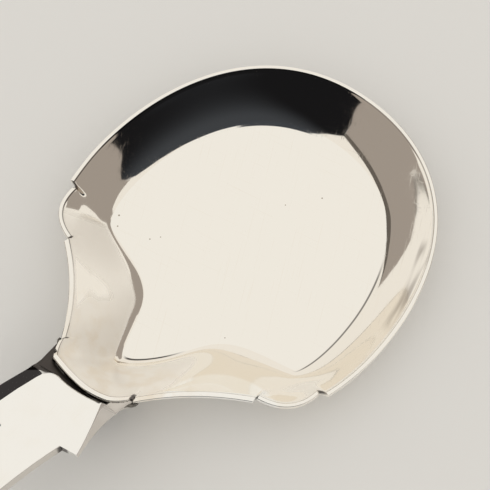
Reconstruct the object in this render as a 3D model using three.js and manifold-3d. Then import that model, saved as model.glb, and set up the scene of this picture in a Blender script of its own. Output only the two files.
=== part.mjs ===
// A broad-bowled silver spoon: a shallow bowl raised from sheet, with a scalloped and nicked rim,
// and a forged handle whose heel is hard-soldered under the bowl's base.
// Millimetres. +X runs along the spoon to the bowl's tip, +Z is up, and the spoon lies on z = 0.
import * as THREE from 'three';
import { mergeVertices } from 'three/addons/utils/BufferGeometryUtils.js';
import Module from 'manifold-3d';

// Driving dimensions. Plan points are [along the axis from the bowl's middle, out from the axis].
const OVERALL_LENGTH = 140;
const SHEET = 0.75;             // thickness of the raised sheet
const BOWL_DEPTH = 4.2;         // from the main rim down to the flat floor inside

// Main edge of the bowl: one full curve round the tip, then a flank back to the ear
const TIP_X = 25.6;
const TIP_FULLNESS = 14.3;
const WIDEST_X = -0.6;
const HALF_WIDTH = 22;
const FLANK_FULLNESS = 14.6;
const FLANK_RADIUS = 29.2;
const FLANK_END_X = -7.9;

// Ear, shoulder and base of the edge, and how far each run stands out of its chord
const EAR_START = [-8.6, 20.15];
const EAR_END = [-14.1, 15.4];
const EAR_BULGE = 1.35;
const SHOULDER_START = [-14.8, 15.3];
const SHOULDER_END = [-24.7, 5.8];
const SHOULDER_BULGE = -0.75;
const BASE_START = [-24.95, 5.42];
const BASE_CORNER = [-26.9, 4.05];
const BASE_SIDE_BULGE = 0.12;
const BASE_END_X = -27.5;

// The rim is filed flat on top, and three nicks on each side part its runs
const MAIN_RIM = 0.5;
const EAR_RIM = 0.5;
const SHOULDER_RIM = 0.7;
const BASE_RIM = 0.6;
const EAR_NICK = 0.8;
const SHOULDER_NICK = 0.6;
const BASE_NICK = 0.95;
const NICK_LIP = 0.15;

// Toward the handle the rim sweeps up out of the plane of the main edge
const SWEEP_START_X = -4.9;
const SWEEP_EASE = 7.3;
const SWEEP_SLOPE = 0.3;

// Flat floor: it keeps beside the main edge, dents in under the shoulders and ends in a tongue
const WALL_RUN = 7.1;           // from the edge in to the crease round the floor, at the tip
const FLANK_WALL_RUN = 6.3;     // the same at the end of the flank
const WALL_EASE = 3;            // how gently the walls leave the floor
const FLOOR_EAR = [-7.6, 14.25];
const FLOOR_DENT = [-10.2, 6.3];
const FLOOR_NECK = [-16.1, 2.8];
const FLOOR_END_X = -19.5;
const FLOOR_MIDDLE_X = 3;

// Handle in plan: heel, waist, lugs, taper and a plain rounded end
const HEEL_FRONT_X = -22.2;
const WAIST = [-29.2, 5.35];
const LUG = [-34, 6.4];
const LUG_STEP = 0.5;
const NECK_HALF_WIDTH = 4.3;
const NECK_TAPER = 0.16;
const NECK_REACH = 12;
const SLENDER_PULL = [-68, 1.2];
const END_HALF_WIDTH = 5.4;
const END_ROUND = 9;

// Handle from the side: its underside runs up from the heel to the lugs and over an arch to the end,
// and its top runs straight on from the lugs to the bowl
const HEEL_FRONT_Z = 0.35;
const HEEL_PULL = [-24, 1];
const LUG_UNDERSIDE_Z = 10.25;
const LUG_SLOPE = 0.25;
const LUG_REACH = 5;
const ARCH_REACH = 26;
const ARCH_END_PULL = [-92, 3];
const EDGE_THICKNESS = 1.5;
const NOSE_LENGTH = 0.6;        // rounding of the top where it ends in front of the bowl's base
const NOSE_DROP = 0.35;

// Sections of the handle: a nearly flat top, sides that are bevelled beside the bowl, a rounded belly
const CROWN_SLOPE = 0.08;       // slope of the crowned top where it meets its edge
const SIDE_DRAFT = 0.2;         // how far the sides lean in to the top edge
const NOSE_DRAFT = 1.9;         // the same at the bowl, as the run of the bevel
const LUG_BEVEL = 0.35;         // height of the bevel at the lugs
const NOSE_BEVEL = 0.8;         // the same at the bowl
const LUG_BELLY = 1.3;          // rounding of the lower sides at the lugs
const HEEL_BELLY = 4.4;         // the same at the bowl
const BELLY_LIMIT = 0.8;        // largest rounding, as a share of the half width
const ARRIS = 0.4;              // rounding of the lower edges along the arch

// Hard-solder layer between the bowl and the heel
const SOLDER = 0.3;
const CLEARANCE = 0.2;
const SOLDER_FLASH = 0.35;      // how far the layer shows round the heel
const SOLDER_TOP_DROP = 1.0;    // how far it stays below the base's rim

// Facets along each run
const MAIN_STEPS = 26;
const EAR_STEPS = 8;
const SHOULDER_STEPS = 10;
const BASE_SIDE_STEPS = 2;
const BASE_END_STEPS = 5;
const WALL_STEPS = 9;
const HEEL_STEPS = 8;
const FLARE_STEPS = 12;
const TAPER_STEPS = 24;
const BELLY_STEPS = 5;
const END_STEPS = 10;

const FLOOR_Z = SHEET;
const MAIN_RIM_Z = FLOOR_Z + BOWL_DEPTH;
const HANDLE_END_X = TIP_X - OVERALL_LENGTH;
const HEEL_STANDOFF = SOLDER + 2 * CLEARANCE;
const NOSE_X = BASE_END_X - HEEL_STANDOFF;
const FILL_TOP_Z = OVERALL_LENGTH / 4;

const silver = new THREE.MeshStandardMaterial({ color: 0xe9e5dc, roughness: 0.12, metalness: 1 });
const forgedSilver = new THREE.MeshStandardMaterial({ color: 0xe7e2d8, roughness: 0.16, metalness: 1 });
const hardSolder = new THREE.MeshStandardMaterial({ color: 0xcfc9bd, roughness: 0.3, metalness: 1 });

const point = ([x, y]) => new THREE.Vector2(x, y);
const mirrored = (p) => new THREE.Vector2(p.x, -p.y);
const share = (value, from, to) => THREE.MathUtils.clamp((value - from) / (to - from), 0, 1);
const lerp = THREE.MathUtils.lerp;

// Rise of a wall at a distance out from the crease: it starts level and straightens out
const eased = (out) => Math.hypot(out, WALL_EASE) - WALL_EASE;

// Height of the rim at a place along the axis
function rimHeight(x) {
  const past = Math.max(0, SWEEP_START_X - x);
  return MAIN_RIM_Z + SWEEP_SLOPE * (Math.hypot(past, SWEEP_EASE) - SWEEP_EASE);
}

// A shallow arc from a to b, seen with the outside on the right, whose middle stands out by bulge
function bulgedRun(a, b, bulge, steps) {
  const out = new THREE.Vector2(b.y - a.y, a.x - b.x).normalize();
  const pull = a.clone().lerp(b, 0.5).addScaledVector(out, 2 * bulge);
  return new THREE.QuadraticBezierCurve(a, pull, b).getSpacedPoints(steps);
}

// Half of the bowl's main edge, from the tip to the flank's end
function mainEdge() {
  const flankTurn = Math.asin((WIDEST_X - FLANK_END_X) / FLANK_RADIUS);
  const edge = new THREE.Path();
  edge.moveTo(TIP_X, 0);
  edge.bezierCurveTo(TIP_X, TIP_FULLNESS, WIDEST_X + FLANK_FULLNESS, HALF_WIDTH, WIDEST_X, HALF_WIDTH);
  edge.absarc(WIDEST_X, HALF_WIDTH - FLANK_RADIUS, FLANK_RADIUS, Math.PI / 2, Math.PI / 2 + flankTurn);
  return edge;
}

// Stations round half of the bowl. Each has its point on the edge, the width of the rim there, how deep
// the edge is nicked, and its point on the crease round the floor.
function halfStations() {
  const edge = mainEdge();
  const stations = [];
  for (let i = 0; i <= MAIN_STEPS; i += 1) {
    const part = i / MAIN_STEPS;
    const along = edge.getTangent(part);
    const onEdge = edge.getPoint(part);
    const inward = new THREE.Vector2(-along.y, along.x);
    const run = lerp(WALL_RUN, FLANK_WALL_RUN, part * part);
    const crease = onEdge.clone().addScaledVector(inward, run);
    stations.push({ edge: onEdge, rim: MAIN_RIM, nick: 0, crease });
  }
  const flank = stations.at(-1);
  const beforeFlank = stations.at(-3);

  const knots = [beforeFlank.crease, flank.crease, point(FLOOR_EAR), point(FLOOR_DENT),
    point(FLOOR_NECK), new THREE.Vector2(FLOOR_END_X, 0), mirrored(point(FLOOR_NECK))];
  const floorEdge = new THREE.SplineCurve(knots);
  const floorAt = (knot) => floorEdge.getPoint(knot / (knots.length - 1));
  const [flankKnot, earKnot, neckKnot, endKnot] = [1, 2, 4, 5];

  const addRun = (points, rim, fromKnot, toKnot) => points.forEach((p, i) => {
    const crease = floorAt(lerp(fromKnot, toKnot, i / (points.length - 1)));
    stations.push({ edge: p, rim, nick: 0, crease });
  });
  const addNick = (next, rim, depth, nextKnot) => {
    const last = stations.at(-1);
    const crease = last.crease.clone().lerp(floorAt(nextKnot), 0.5);
    stations.push({ edge: last.edge.clone().lerp(next, 0.5), rim, nick: depth, crease });
  };

  const nickShare = 0.08;
  const baseKnot = lerp(neckKnot, endKnot, 0.45);
  const ear = bulgedRun(point(EAR_START), point(EAR_END), EAR_BULGE, EAR_STEPS);
  const shoulder = bulgedRun(point(SHOULDER_START), point(SHOULDER_END), SHOULDER_BULGE, SHOULDER_STEPS);
  const corner = point(BASE_CORNER);
  const baseSide = bulgedRun(point(BASE_START), corner, BASE_SIDE_BULGE, BASE_SIDE_STEPS);
  const baseEnd = bulgedRun(corner, mirrored(corner), corner.x - BASE_END_X, 2 * BASE_END_STEPS);

  addNick(ear[0], MAIN_RIM, EAR_NICK, flankKnot + nickShare);
  addRun(ear, EAR_RIM, flankKnot + nickShare, earKnot - nickShare);
  addNick(shoulder[0], EAR_RIM, SHOULDER_NICK, earKnot);
  addRun(shoulder, SHOULDER_RIM, earKnot, neckKnot - nickShare);
  addNick(baseSide[0], SHOULDER_RIM, BASE_NICK, neckKnot);
  addRun(baseSide, BASE_RIM, neckKnot, baseKnot);
  stations.pop();
  addRun(baseEnd.slice(0, BASE_END_STEPS + 1), BASE_RIM, baseKnot, endKnot);
  return stations;
}

// All the way round, counterclockwise from the tip
function allStations() {
  const half = halfStations();
  const other = half.slice(1, -1).reverse();
  const mirror = (s) => ({ ...s, edge: mirrored(s.edge), crease: mirrored(s.crease) });
  return half.concat(other.map(mirror));
}

// The wall at a station, measured inward from the edge
function wallAt(station) {
  const inward = station.crease.clone().sub(station.edge);
  const length = inward.length();
  inward.normalize();
  const rise = rimHeight(station.edge.x) - FLOOR_Z;
  const steepness = rise / eased(length - station.rim);
  return {
    insideZ: (r) => FLOOR_Z + steepness * eased(length - r),
    slope: (r) => (steepness * (length - r)) / Math.hypot(length - r, WALL_EASE),
    place: (r, z) => new THREE.Vector3(station.edge.x + inward.x * r, station.edge.y + inward.y * r, z),
    stepsTo: (r) => Array.from({ length: WALL_STEPS + 1 }, (_, i) => lerp(length, r, i / WALL_STEPS)),
  };
}

// Underside of the bowl at a station, from below the crease out to the edge, pushed out by gap
function underside(station, gap) {
  const wall = wallAt(station);
  const drop = (r) => (SHEET + gap) * Math.hypot(1, wall.slope(r));
  const outerR = gap > 0 ? -gap : station.nick;
  return wall.stepsTo(outerR).map((r) => wall.place(r, wall.insideZ(r) - drop(r)));
}

// Rim and inside of the bowl at a station, from the edge in to the crease
function inside(station) {
  const wall = wallAt(station);
  const innerR = station.nick > 0 ? Math.max(station.nick, station.rim) + NICK_LIP : station.rim;
  const rim = wall.place(station.nick, wall.insideZ(innerR));
  return [rim, ...wall.stepsTo(innerR).reverse().map((r) => wall.place(r, wall.insideZ(r)))];
}

// A closed skin over rings of points, each ring counterclockwise as seen from where the rings lead
function skin(rings, firstTip, lastTip) {
  const count = rings[0].length;
  const vertices = [...rings.flat(), firstTip, lastTip];
  const [firstIndex, lastIndex] = [vertices.length - 2, vertices.length - 1];
  const lastRing = (rings.length - 1) * count;
  const faces = [];
  for (let i = 0; i < count; i += 1) {
    const j = (i + 1) % count;
    faces.push(firstIndex, j, i, lastIndex, lastRing + i, lastRing + j);
    for (let ring = 0; ring < lastRing; ring += count) {
      faces.push(ring + i, ring + j, ring + count + j);
      faces.push(ring + i, ring + count + j, ring + count + i);
    }
  }
  const geometry = new THREE.BufferGeometry().setFromPoints(vertices);
  geometry.setIndex(faces);
  return geometry;
}

// Profiles at stations, turned into rings that each run through all the stations
const ringsOf = (profiles) => profiles[0].map((_, k) => profiles.map((profile) => profile[k]));

function bowlGeometry() {
  const profiles = allStations().map((s) => [...underside(s, 0), ...inside(s)]);
  const middle = (z) => new THREE.Vector3(FLOOR_MIDDLE_X, 0, z);
  return skin(ringsOf(profiles), middle(0), middle(FLOOR_Z));
}

// Everything above the bowl's underside, pushed out by gap: what the heel and the solder are cut by
function bowlFill(gap) {
  const profiles = allStations().filter((s) => s.nick === 0).map((s) => {
    const below = underside(s, gap);
    const top = below.at(-1).clone().setZ(FILL_TOP_Z);
    return [...below, top];
  });
  const middle = (z) => new THREE.Vector3(FLOOR_MIDDLE_X, 0, z);
  return skin(ringsOf(profiles), middle(-gap), middle(FILL_TOP_Z));
}

// Half of the handle in plan, from the heel's front to the end, as runs of curves
function handleRuns() {
  const side = point(SHOULDER_END);
  const lug = point(LUG);
  const neck = new THREE.Vector2(lug.x - LUG_STEP, NECK_HALF_WIDTH);
  const endMiddle = HANDLE_END_X + END_ROUND;
  const endSide = new THREE.Vector2(endMiddle, END_HALF_WIDTH);
  const waistPull = point(WAIST).multiplyScalar(2).sub(side.clone().lerp(lug, 0.5));
  const neckPull = new THREE.Vector2(neck.x - NECK_REACH, neck.y - NECK_TAPER * NECK_REACH);
  const slenderPull = point(SLENDER_PULL);
  const heel = new THREE.EllipseCurve(side.x, 0, HEEL_FRONT_X - side.x, side.y, 0, Math.PI / 2);
  const flare = new THREE.QuadraticBezierCurve(side, waistPull, lug);
  const taper = new THREE.CubicBezierCurve(neck, neckPull, slenderPull, endSide);
  const end = new THREE.EllipseCurve(endMiddle, 0, END_ROUND, END_HALF_WIDTH, Math.PI / 2, Math.PI);
  return [
    heel.getPoints(HEEL_STEPS).slice(1),
    flare.getPoints(FLARE_STEPS).slice(1),
    taper.getPoints(TAPER_STEPS),
    end.getPoints(END_STEPS).slice(1, -1),
  ];
}

// Height at x on a curve whose x only falls
function heightOn(curve, x) {
  let [low, high] = [0, 1];
  for (let i = 0; i < 40; i += 1) {
    const middle = (low + high) / 2;
    if (curve.getPoint(middle).x > x) low = middle;
    else high = middle;
  }
  return curve.getPoint(low).y;
}

// Underside of the handle from the side: up from the heel to the lugs, over the arch, down to the end
function handleUndersides() {
  const front = new THREE.Vector2(HEEL_FRONT_X, HEEL_FRONT_Z);
  const lug = new THREE.Vector2(LUG[0], LUG_UNDERSIDE_Z);
  const lugPull = new THREE.Vector2(lug.x + LUG_REACH, lug.y - LUG_SLOPE * LUG_REACH);
  const archPull = new THREE.Vector2(lug.x - ARCH_REACH, lug.y + LUG_SLOPE * ARCH_REACH);
  const end = new THREE.Vector2(HANDLE_END_X, 0);
  return {
    rise: new THREE.CubicBezierCurve(front, point(HEEL_PULL), lugPull, lug),
    arch: new THREE.CubicBezierCurve(lug, archPull, point(ARCH_END_PULL), end),
  };
}

// A section of the handle: rounded lower sides, bevels, and a crowned top that is rounded at the nose
function handleSection(x, halfWidth, undersides) {
  const forged = x >= LUG[0];
  const bottom = heightOn(forged ? undersides.rise : undersides.arch, x);
  const noseShare = share(x, NOSE_X - NOSE_LENGTH, NOSE_X);
  const noseDrop = NOSE_DROP * (1 - Math.sqrt(1 - noseShare * noseShare));
  const straightTop = LUG_UNDERSIDE_Z + EDGE_THICKNESS - LUG_SLOPE * (x - LUG[0]);
  const edge = (forged ? straightTop : bottom + EDGE_THICKNESS) - noseDrop;
  const besideBowl = share(x, LUG[0], NOSE_X) ** 2;
  const draft = lerp(SIDE_DRAFT, NOSE_DRAFT, besideBowl);
  const top = Math.max(halfWidth - draft, halfWidth / 2);
  const sideZ = forged ? edge - lerp(LUG_BEVEL, NOSE_BEVEL, besideBowl) : bottom + ARRIS;
  const rounding = forged ? lerp(LUG_BELLY, HEEL_BELLY, besideBowl) : ARRIS;
  const belly = Math.min(rounding, BELLY_LIMIT * halfWidth);
  const turns = Array.from({ length: BELLY_STEPS + 1 }, (_, i) => (i / BELLY_STEPS) * (Math.PI / 2));
  const crown = (y) => edge + (CROWN_SLOPE / 2) * (top - (y * y) / top);
  const crownShares = [0.75, 0.5, 0.25, 0];
  const half = [
    ...turns.map((a) => [halfWidth - belly * (1 - Math.sin(a)), lerp(sideZ, bottom, Math.cos(a))]),
    [top, edge],
    ...crownShares.map((f) => [top * f, crown(top * f)]),
  ];
  const near = half.map(([y, z]) => new THREE.Vector3(x, -y, z));
  const far = half.slice(0, -1).reverse().map(([y, z]) => new THREE.Vector3(x, y, z));
  return [...near, ...far];
}

function handleGeometry() {
  const undersides = handleUndersides();
  const rings = handleRuns().flat().map((p) => handleSection(p.x, p.y, undersides));
  const front = new THREE.Vector3(HEEL_FRONT_X, 0, HEEL_FRONT_Z + EDGE_THICKNESS / 2);
  const end = new THREE.Vector3(HANDLE_END_X, 0, EDGE_THICKNESS / 2);
  return skin(rings, front, end);
}

// A block over the heel's plan, a little larger than the heel, up to just below the base's rim
function solderBlock() {
  const [heel, flare] = handleRuns();
  const side = heel.concat(flare).filter((p) => p.x > BASE_END_X);
  const grown = side.map((p) => new THREE.Vector2(p.x, p.y + SOLDER_FLASH));
  const back = new THREE.Vector2(BASE_END_X, grown.at(-1).y);
  const half = [new THREE.Vector2(HEEL_FRONT_X + SOLDER_FLASH, 0), ...grown, back];
  const outline = new THREE.Shape([...half, ...half.slice(1).reverse().map(mirrored)]);
  const depth = rimHeight(BASE_END_X) - SOLDER_TOP_DROP;
  return new THREE.ExtrudeGeometry(outline, { depth, bevelEnabled: false });
}

const wasm = await Module();
wasm.setup();

// A closed geometry as a solid that can be cut
function solid(geometry) {
  const bare = geometry.clone();
  bare.deleteAttribute('normal');
  bare.deleteAttribute('uv');
  const merged = mergeVertices(bare, 1e-5);
  const vertProperties = new Float32Array(merged.attributes.position.array);
  const triVerts = new Uint32Array(merged.index.array);
  return new wasm.Manifold(new wasm.Mesh({ numProp: 3, vertProperties, triVerts }));
}

// A cut solid as a geometry again
function geometryOf(manifold) {
  const mesh = manifold.getMesh();
  const geometry = new THREE.BufferGeometry();
  geometry.setAttribute('position', new THREE.BufferAttribute(mesh.vertProperties, mesh.numProp));
  geometry.setIndex(new THREE.BufferAttribute(mesh.triVerts, 1));
  return geometry;
}

function piece(name, geometry, material) {
  geometry.computeVertexNormals();
  const mesh = new THREE.Mesh(geometry, material);
  mesh.name = name;
  return mesh;
}

const handleCut = solid(handleGeometry()).subtract(solid(bowlFill(HEEL_STANDOFF)));
const solderLayer = solid(solderBlock())
  .intersect(solid(bowlFill(SOLDER + CLEARANCE)))
  .subtract(solid(bowlFill(CLEARANCE)));

const spoon = new THREE.Group();
spoon.add(piece('bowl', bowlGeometry(), silver));
spoon.add(piece('handle', geometryOf(handleCut), forgedSilver));
spoon.add(piece('solder_seam', geometryOf(solderLayer), hardSolder));

// The origin is on the table under the middle of the spoon's length
const part = new THREE.Group();
spoon.position.x = OVERALL_LENGTH / 2 - TIP_X;
part.add(spoon);

export default part;
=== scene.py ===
"""Looks of a broad-bowled silver spoon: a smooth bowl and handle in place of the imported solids.

Shapes are worked out in millimetres from the bowl's middle, and put into the frame in metres.
Left is +Y, as seen along the handle towards the bowl's tip.
"""

import math

import bpy
import numpy as np
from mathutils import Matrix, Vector, noise
from mathutils.bvhtree import BVHTree
from mathutils.geometry import tessellate_polygon


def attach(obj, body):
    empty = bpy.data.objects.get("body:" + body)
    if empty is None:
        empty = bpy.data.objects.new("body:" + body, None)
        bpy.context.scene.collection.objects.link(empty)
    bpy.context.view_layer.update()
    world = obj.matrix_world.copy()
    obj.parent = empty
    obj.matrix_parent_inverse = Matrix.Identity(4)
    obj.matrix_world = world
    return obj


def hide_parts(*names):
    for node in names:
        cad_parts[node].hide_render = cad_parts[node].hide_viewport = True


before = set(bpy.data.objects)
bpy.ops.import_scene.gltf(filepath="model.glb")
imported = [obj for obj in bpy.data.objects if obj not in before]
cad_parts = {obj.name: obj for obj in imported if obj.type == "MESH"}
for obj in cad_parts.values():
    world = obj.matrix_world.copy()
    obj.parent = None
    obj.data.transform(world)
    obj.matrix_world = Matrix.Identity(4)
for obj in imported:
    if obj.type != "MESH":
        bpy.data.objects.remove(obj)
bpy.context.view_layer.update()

# Sizes shared with the solids, in millimetres. Plan points are (along the axis, out from it).
OVERALL_LENGTH = 140
SHEET = 0.75
BOWL_DEPTH = 4.2
TIP_X = 25.6
TIP_FULLNESS = 14.3
WIDEST_X = -0.6
HALF_WIDTH = 22
FLANK_FULLNESS = 14.6
FLANK_RADIUS = 29.2
FLANK_END_X = -7.9
EAR_START = (-8.6, 20.15)
EAR_END = (-14.1, 15.4)
EAR_BULGE = 1.35
SHOULDER_START = (-14.8, 15.3)
SHOULDER_END = (-24.7, 5.8)
SHOULDER_BULGE = -0.75
BASE_SIDE_BULGE = 0.12
BASE_END_X = -27.5
MAIN_RIM = 0.5
EAR_RIM = 0.5
SHOULDER_RIM = 0.7
BASE_RIM = 0.6
SHOULDER_NICK = 0.6
NICK_LIP = 0.15
SWEEP_START_X = -4.9
SWEEP_EASE = 7.3
SWEEP_SLOPE = 0.3
WALL_RUN = 7.1
FLANK_WALL_RUN = 6.3
WALL_EASE = 3
FLOOR_MIDDLE_X = 3
NICK_KNOT_SHARE = 0.08
BASE_KNOT_SHARE = 0.45
HEEL_FRONT_X = -22.2
WAIST = (-29.2, 5.35)
LUG = (-34, 6.4)
LUG_STEP = 0.5
NECK_HALF_WIDTH = 4.3
NECK_TAPER = 0.16
NECK_REACH = 12
SLENDER_PULL = (-68, 1.2)
END_HALF_WIDTH = 5.4
END_ROUND = 9
HEEL_FRONT_Z = 0.35
HEEL_PULL = (-24, 1)
LUG_UNDERSIDE_Z = 10.25
LUG_SLOPE = 0.25
LUG_REACH = 5
ARCH_REACH = 26
ARCH_END_PULL = (-92, 3)
EDGE_THICKNESS = 1.5
NOSE_LENGTH = 0.6
NOSE_DROP = 0.35
CROWN_SLOPE = 0.08
SIDE_DRAFT = 0.2
NOSE_DRAFT = 1.9
LUG_BEVEL = 0.35
NOSE_BEVEL = 0.8
LUG_BELLY = 1.3
HEEL_BELLY = 4.4
BELLY_LIMIT = 0.8
SIDE_ARRIS = 0.4
HEEL_STANDOFF = 0.7

# Handwork of the bowl, where it departs from the solids, and a painted dark line inside its rim
EAR_NICK = 0.45
LEFT_BASE_NICK = 0.6
RIGHT_BASE_NICK = 0.25
LEFT_BASE = ((-24.95, 5.8), (-27, 4.7))  # the base's start and corner
RIGHT_BASE = ((-24.9, 5.2), (-26.65, 3.6))
FLOOR_LEFT = ((-8.05, 14.05), (-10.45, 5.55), (-16.6, 2.8))  # the floor's ear, dent and neck
FLOOR_RIGHT = ((-6.9, 14.1), (-9.3, 6.4), (-15.6, 2.6))
FLOOR_END = (-19.4, 1.2)
LEFT_EASE = (0.6, 2.6)  # how gently the wall leaves the floor, at the ear and at the neck
RIGHT_EASE = (1.3, 1.3)
EASE_SPREAD = 3.5
RIM_ARRIS = 0.07  # rounding of the rim's edges
OUTER_ARRIS = ((0, 1), (0.3, 0.3), (1, 0), (1.3, 0))  # steps in and down, in shares of RIM_ARRIS
INNER_ARRIS = ((-1.3, 0), (-1, 0), (0.3, 0.8))
ARRIS_RUN = 1.6  # where the wall starts inside the lip, in shares of RIM_ARRIS
ARRIS_FADE = 8  # power that takes the rounding out of the wall below the lip
NICK_SHARES = (0.3, 0.55, 0.75)  # where a nick's points lie between its two neighbours
HAMMER_SPREAD = 1.8  # length of edge over which hammering evens out the cut outline
HAMMER_RUN = (4, -2)  # x where the hammering begins and where it is full
CUT_REACH = 0.3  # share of the wall, from the edge down, that goes from the cut to the hammered form
WAVE_HEIGHT = 0.012
WAVE_LENGTH = 5
RIM_LINE = 0.45  # strength of the painted dark reflection line inside the rim
RIM_LINE_Y = (11, 15)  # runs over which it grows to full strength at the left flank
RIM_LINE_X = (12, 2)

# Handwork of the handle, where it departs from the solids
NOSE_SHIFT = 0.4  # how much nearer to the bowl the nose ends
NOSE_SKEW = 0.17  # slope of the nose's end across the handle
NOSE_HOLLOW = 0.42  # depth of the hollow in the nose's end, then its middle and its reach to each side
NOSE_HOLLOW_Y = -0.7
NOSE_HOLLOW_REACH = 3.2
LUG_STAGGER = 6.4  # how far the left lug is set back
LEFT_SIDE = ((-38.2, 7.2), (-33.3, 6.65), (-29, 5.85), (-26.9, 5.76), (-24.7, 6.06))
LEFT_DRAFT = 1.7
LEFT_BEVEL = 0.75
LEFT_CORNER = 1.1
GROOVE_DROP = 1.05  # how far the bar stays below the rim, in the groove in front of the bowl's base
FLANK_DROP = 0.2  # the same at the right flank, which runs on beside the base
GROOVE_SIDE = (-3.9, -3.1)  # y where the flank turns into the groove
HEEL_GAP = 0.03  # between the heel and the sheet above it
HEEL_TIP_RISE = 0.2  # from the heel's lower edge up to the middle of its front
BELOW_ALL_Z = -10  # where the search for the sheet above the heel begins

FLOOR_Z = SHEET
MAIN_RIM_Z = FLOOR_Z + BOWL_DEPTH
HANDLE_END_X = TIP_X - OVERALL_LENGTH
NOSE_X = BASE_END_X - HEEL_STANDOFF + NOSE_SHIFT
MIDDLE = np.array([OVERALL_LENGTH / 2 - TIP_X, 0, 0])
MM = 0.001

# Fineness of the smooth meshes, and powers that crowd their rings towards the crease
MAIN_STEPS = 200
BEFORE_FLANK_STEPS = MAIN_STEPS // 13  # back to the knot before the flank's end, as far as in the solids
EAR_STEPS = 56
SHOULDER_STEPS = 84
BASE_SIDE_STEPS = 16
BASE_END_STEPS = 28
UNDERSIDE_STEPS = 24
WALL_STEPS = 32
WALL_CROWDING = 1.3
FLOOR_STEPS = 25
FLOOR_CROWDING = 1.2
UNDERFLOOR_SHARES = (0.35, 0.7, 0.9)
HEEL_STEPS = 40
FLARE_STEPS = 60
TAPER_STEPS = 140
BELLY_STEPS = 7
SIDE_SHARES = np.linspace(0.04, 0.96, 14)
TOP_SHARES = np.array([0.985, 0.95, 0.88, 0.78, 0.66, 0.52, 0.36, 0.18, 0.0])
TOP_EDGE = (0.9, 0.97)  # shares of the top between which it turns to its edge
RUN_CURVE_STEPS = 400
TIP_CURVE_STEPS = 800
FLANK_ARC_POINTS = 200
RISE_STEPS = 200
ARCH_STEPS = 600
SMOOTHING_SAMPLES = 2000
SHARP_ANGLE = math.radians(30)

# Photograph's view: where its middle looks at the rim's plane, and from which way and how far
VIEW_MIDDLE = (0, -0.804, MAIN_RIM_Z)
VIEW_TURN = math.radians(47.961)
VIEW_ELEVATION = math.radians(65.539)
VIEW_DISTANCE = 218.8
VIEW_FOCAL_PIXELS = 1800
IMAGE_PIXELS = 490
SENSOR = 36
NEAREST_SEEN = 5
AWAY = (0.743, 0.67, 0)  # level ways from the viewer and to their right
RIGHT = (0.67, -0.743, 0)


def share(value, start, end):
    return np.clip((value - start) / (end - start), 0, 1)


def lerp(a, b, t):
    return a + (b - a) * t


def between(start, end, shares):
    return [lerp(start, end, t) for t in shares]


def in_frame(points):
    """Places in millimetres from the bowl's middle, as plain lists in the frame's metres."""
    return ((np.asarray(points) + MIDDLE) * MM).tolist()


def bezier(points, steps):
    """Points along a Bezier curve of any degree."""
    t = np.linspace(0, 1, steps + 1)[:, None]
    levels = [np.array(p, float) + 0 * t for p in points]
    while len(levels) > 1:
        levels = [lerp(a, b, t) for a, b in zip(levels, levels[1:])]
    return levels[0]


def evenly(points, steps):
    """The same line, with points at equal distances along it."""
    gaps = np.hypot(*np.diff(points, axis=0).T)
    along = np.concatenate([[0], np.cumsum(gaps)])
    wanted = np.linspace(0, along[-1], steps + 1)
    return np.column_stack([np.interp(wanted, along, points[:, i]) for i in (0, 1)])


def bulged_run(a, b, bulge, steps):
    """A shallow curve from one plan point to another, which bulges outward in its middle."""
    a, b = np.array(a, float), np.array(b, float)
    out = np.array([b[1] - a[1], a[0] - b[0]]) / np.hypot(*(b - a))
    return evenly(bezier([a, (a + b) / 2 + 2 * bulge * out, b], RUN_CURVE_STEPS), steps)


def spline(knots, at):
    """Uniform Catmull-Rom through the knots, at knot numbers such as 2.5."""
    knots, at = np.array(knots, float), np.atleast_1d(at)
    last = len(knots) - 1
    i = np.minimum(np.floor(at).astype(int), last)
    t = (at - i)[:, None]
    p0, p1, p2, p3 = (knots[np.clip(i + k, 0, last)] for k in (-1, 0, 1, 2))
    v0, v1 = (p2 - p0) / 2, (p3 - p1) / 2
    return (2 * p1 - 2 * p2 + v0 + v1) * t ** 3 + (3 * p2 - 3 * p1 - 2 * v0 - v1) * t * t + v0 * t + p1


def smoothed(values, along, spread):
    """Values round the bowl, averaged over a distance along its edge."""
    total = along[-1]
    even = np.linspace(0, total, SMOOTHING_SAMPLES, endpoint=False)
    offset = np.minimum(even, total - even)
    weight = np.exp(-0.5 * (offset / spread) ** 2)
    weight = np.fft.rfft(weight / weight.sum())

    def one(column):
        sampled = np.interp(even, along, np.append(column, column[0]))
        soft = np.fft.irfft(np.fft.rfft(sampled) * weight, SMOOTHING_SAMPLES)
        return np.interp(along[:-1], np.append(even, total), np.append(soft, soft[0]))

    return np.column_stack([one(c) for c in values.T])


def eased(up, ease):
    """Rise of a wall that starts level at the crease and straightens out."""
    return np.hypot(up, ease) - ease


def rim_height(x):
    """The rim is level at the main edge and sweeps up towards the handle."""
    past = np.maximum(0, SWEEP_START_X - x)
    return MAIN_RIM_Z + SWEEP_SLOPE * (np.hypot(past, SWEEP_EASE) - SWEEP_EASE)


def main_edge():
    """Half of the main edge, from the tip round to the flank's end."""
    tip = bezier([(TIP_X, 0), (TIP_X, TIP_FULLNESS), (WIDEST_X + FLANK_FULLNESS, HALF_WIDTH),
                  (WIDEST_X, HALF_WIDTH)], TIP_CURVE_STEPS)
    turn = np.linspace(0, math.asin((WIDEST_X - FLANK_END_X) / FLANK_RADIUS), FLANK_ARC_POINTS)[1:]
    flank = np.column_stack([WIDEST_X - FLANK_RADIUS * np.sin(turn),
                             HALF_WIDTH - FLANK_RADIUS * (1 - np.cos(turn))])
    return evenly(np.vstack([tip, flank]), MAIN_STEPS)


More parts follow.
